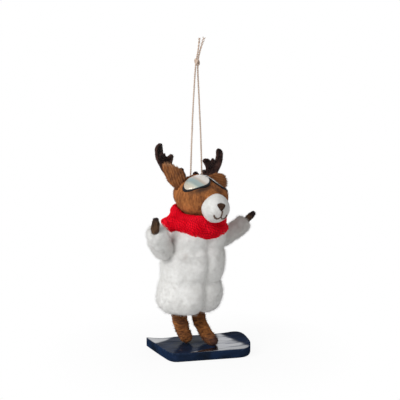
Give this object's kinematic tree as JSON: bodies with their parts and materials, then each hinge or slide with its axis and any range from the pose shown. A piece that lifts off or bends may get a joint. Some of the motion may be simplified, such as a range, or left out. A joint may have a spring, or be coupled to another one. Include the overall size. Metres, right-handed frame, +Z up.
{
  "type": "felt deer figure",
  "caption": "Hanging felt deer in a quilted coat, knitted scarf and goggles, standing on a small snowboard, with arms that bend at the shoulder and a twine loop.",
  "frame": {"origin": "middle of the snowboard's flat underside", "axes": "+Z up, -Y the way the deer faces, +X the deer's own left side"},
  "size_m": [0.0804, 0.0509, 0.19],
  "materials": {
    "board_lacquer": "glossy navy lacquer on wood",
    "brown_wool": "wound brown wool",
    "white_felt": "off-white felted wool",
    "wire": "plain wire",
    "red_knit": "fine red knit",
    "head_wool": "felted brown wool",
    "muzzle_wool": "felted white wool",
    "nose_felt": "dark brown felt",
    "mouth_thread": "brown thread",
    "ear_plush": "brown plush",
    "antler_felt": "stiff dark brown felt",
    "goggle_rubber": "black, half matt",
    "mirror_film": "shiny pearly film",
    "hoof_wool": "dark grey-brown felted wool",
    "twine": "thin twisted twine"
  },
  "bodies": {
    "figure": {"snowboard": "board_lacquer", "body_core": "brown_wool", "coat": "white_felt", "leg_right": "brown_wool", "leg_left": "brown_wool", "leg_wire_right": "wire", "leg_wire_left": "wire", "scarf": "red_knit", "head": "head_wool", "muzzle": "muzzle_wool", "nose": "nose_felt", "mouth_stitch": "mouth_thread", "ear_right": "ear_plush", "ear_left": "ear_plush", "antler_right": "antler_felt", "antler_left": "antler_felt", "goggle_frame": "goggle_rubber", "goggle_lens_right": "mirror_film", "goggle_lens_left": "mirror_film", "twine_knot": "twine", "twine_strand_right": "twine", "twine_strand_left": "twine", "twine_tail_right": "twine", "twine_tail_left": "twine"},
    "arm_right": {"sleeve_right": "white_felt", "hand_right": "hoof_wool", "arm_wire_right": "wire"},
    "arm_left": {"sleeve_left": "white_felt", "hand_left": "hoof_wool", "arm_wire_left": "wire"}
  },
  "joints": [
    {"name": "arm_right_lift", "type": "hinge", "parent": "figure", "child": "arm_right", "pos_m": [-0.0156, 0.00693, 0.0635], "axis": [0, 1, 0], "range_deg": [-30, 15]},
    {"name": "arm_left_lift", "type": "hinge", "parent": "figure", "child": "arm_left", "pos_m": [0.01641, 0.00833, 0.0668], "axis": [0, -1, 0], "range_deg": [-30, 15]}
  ]
}
